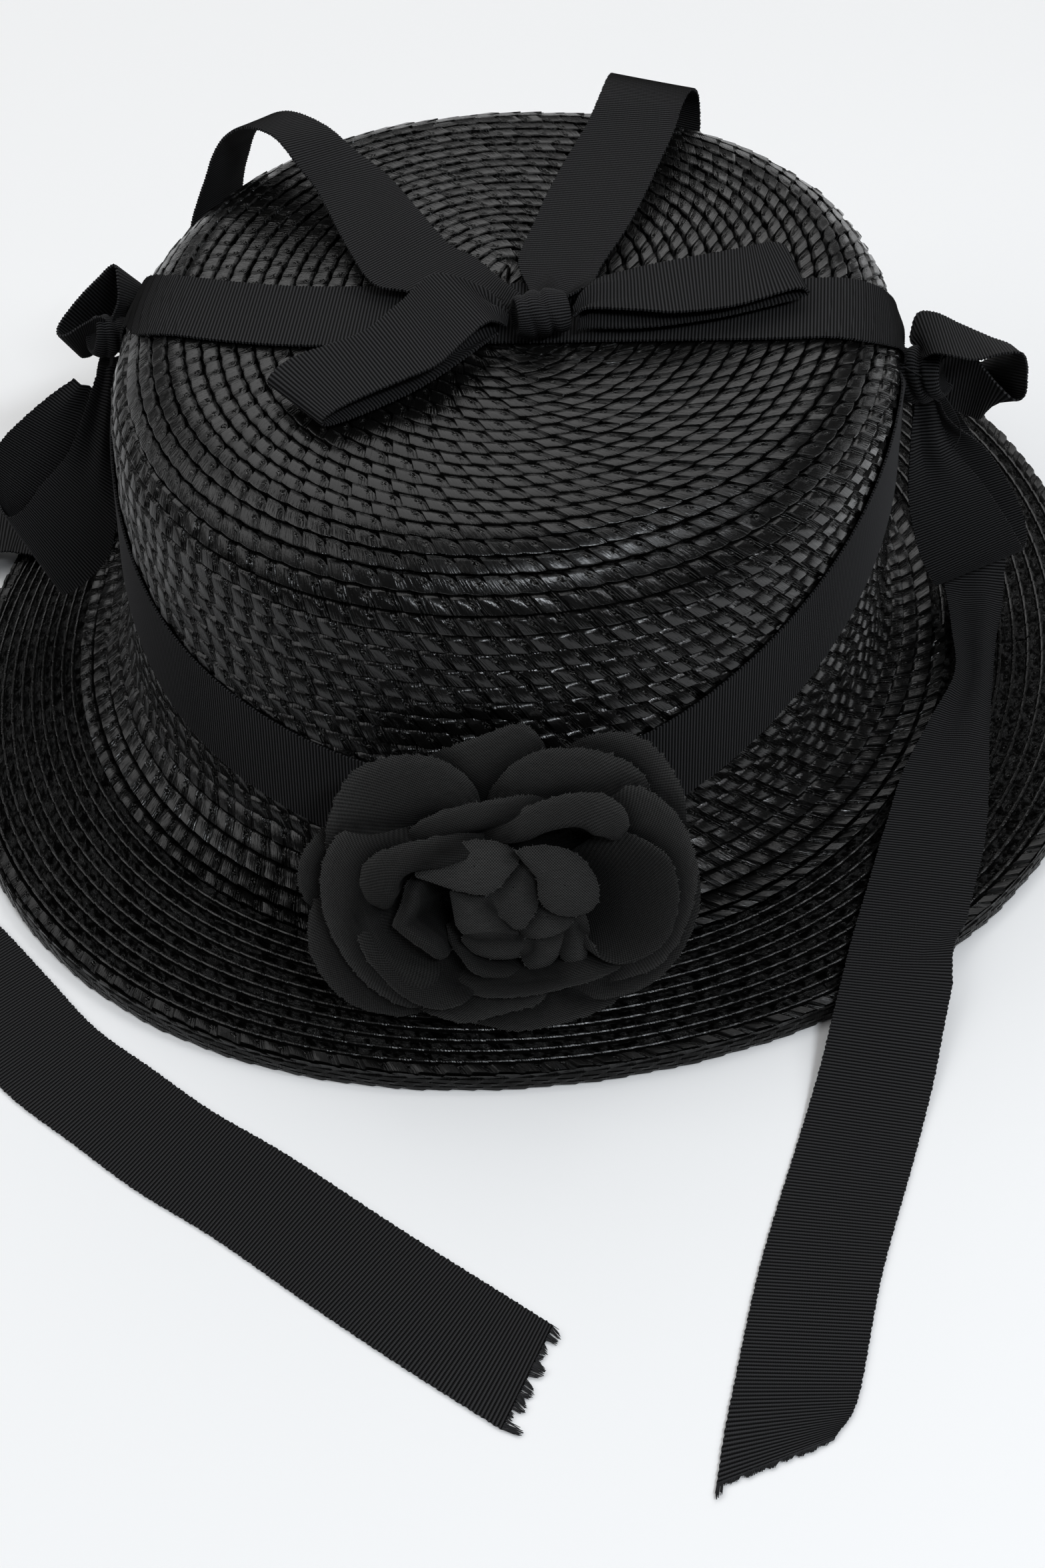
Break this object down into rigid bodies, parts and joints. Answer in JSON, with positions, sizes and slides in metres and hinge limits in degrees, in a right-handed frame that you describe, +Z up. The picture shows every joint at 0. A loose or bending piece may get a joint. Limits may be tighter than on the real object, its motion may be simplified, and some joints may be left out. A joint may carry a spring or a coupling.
{
  "type": "boater hat",
  "caption": "Black sewn-straw boater hat with a flat-topped crown, a wide brim, grosgrain ribbon bows with long tails, and a cloth rose at the front.",
  "frame": {"origin": "middle of the base of the whole object's box, on the surface that the hat rests on", "axes": "+Z up, the crown's axis upright; -Y towards the front, where the rose and the two long tails are; +X to the wearer's left, which is the right-hand side seen from the front"},
  "size_m": [0.306, 0.3574, 0.1079],
  "materials": {
    "straw": "glossy lacquered straw braid",
    "ribbon": "matte ribbed grosgrain",
    "rose_cloth": "matte plain weave"
  },
  "bodies": {
    "root": {"straw_crown": "straw", "straw_brim": "straw", "brim_edge_rows": "straw", "hatband_front": "ribbon", "hatband_back": "ribbon", "cross_ribbon": "ribbon", "top_knot": "ribbon", "top_loop_left": "ribbon", "top_loop_right": "ribbon", "top_tail_left": "ribbon", "top_tail_right": "ribbon", "right_knot": "ribbon", "right_up_loop": "ribbon", "right_down_loop": "ribbon", "right_tail": "ribbon", "left_knot": "ribbon", "left_up_loop": "ribbon", "left_down_loop": "ribbon", "left_tail": "ribbon", "petal_outer_right_top": "rose_cloth", "petal_outer_left": "rose_cloth", "petal_outer_bottom_right": "rose_cloth", "petal_outer_top": "rose_cloth", "petal_outer_right_bottom": "rose_cloth", "petal_outer_left_bottom": "rose_cloth", "petal_second_right_top": "rose_cloth", "petal_second_left_top": "rose_cloth", "petal_second_bottom": "rose_cloth", "petal_second_right": "rose_cloth", "petal_second_left": "rose_cloth", "petal_middle_right": "rose_cloth", "petal_middle_left_bottom": "rose_cloth", "petal_middle_top": "rose_cloth", "petal_middle_right_top": "rose_cloth", "petal_middle_left": "rose_cloth", "petal_middle_bottom": "rose_cloth", "petal_inner_left": "rose_cloth", "petal_inner_top": "rose_cloth", "petal_inner_right": "rose_cloth", "petal_inner_bottom": "rose_cloth", "rose_bud": "rose_cloth", "rose_stem": "rose_cloth"}
  },
  "joints": []
}
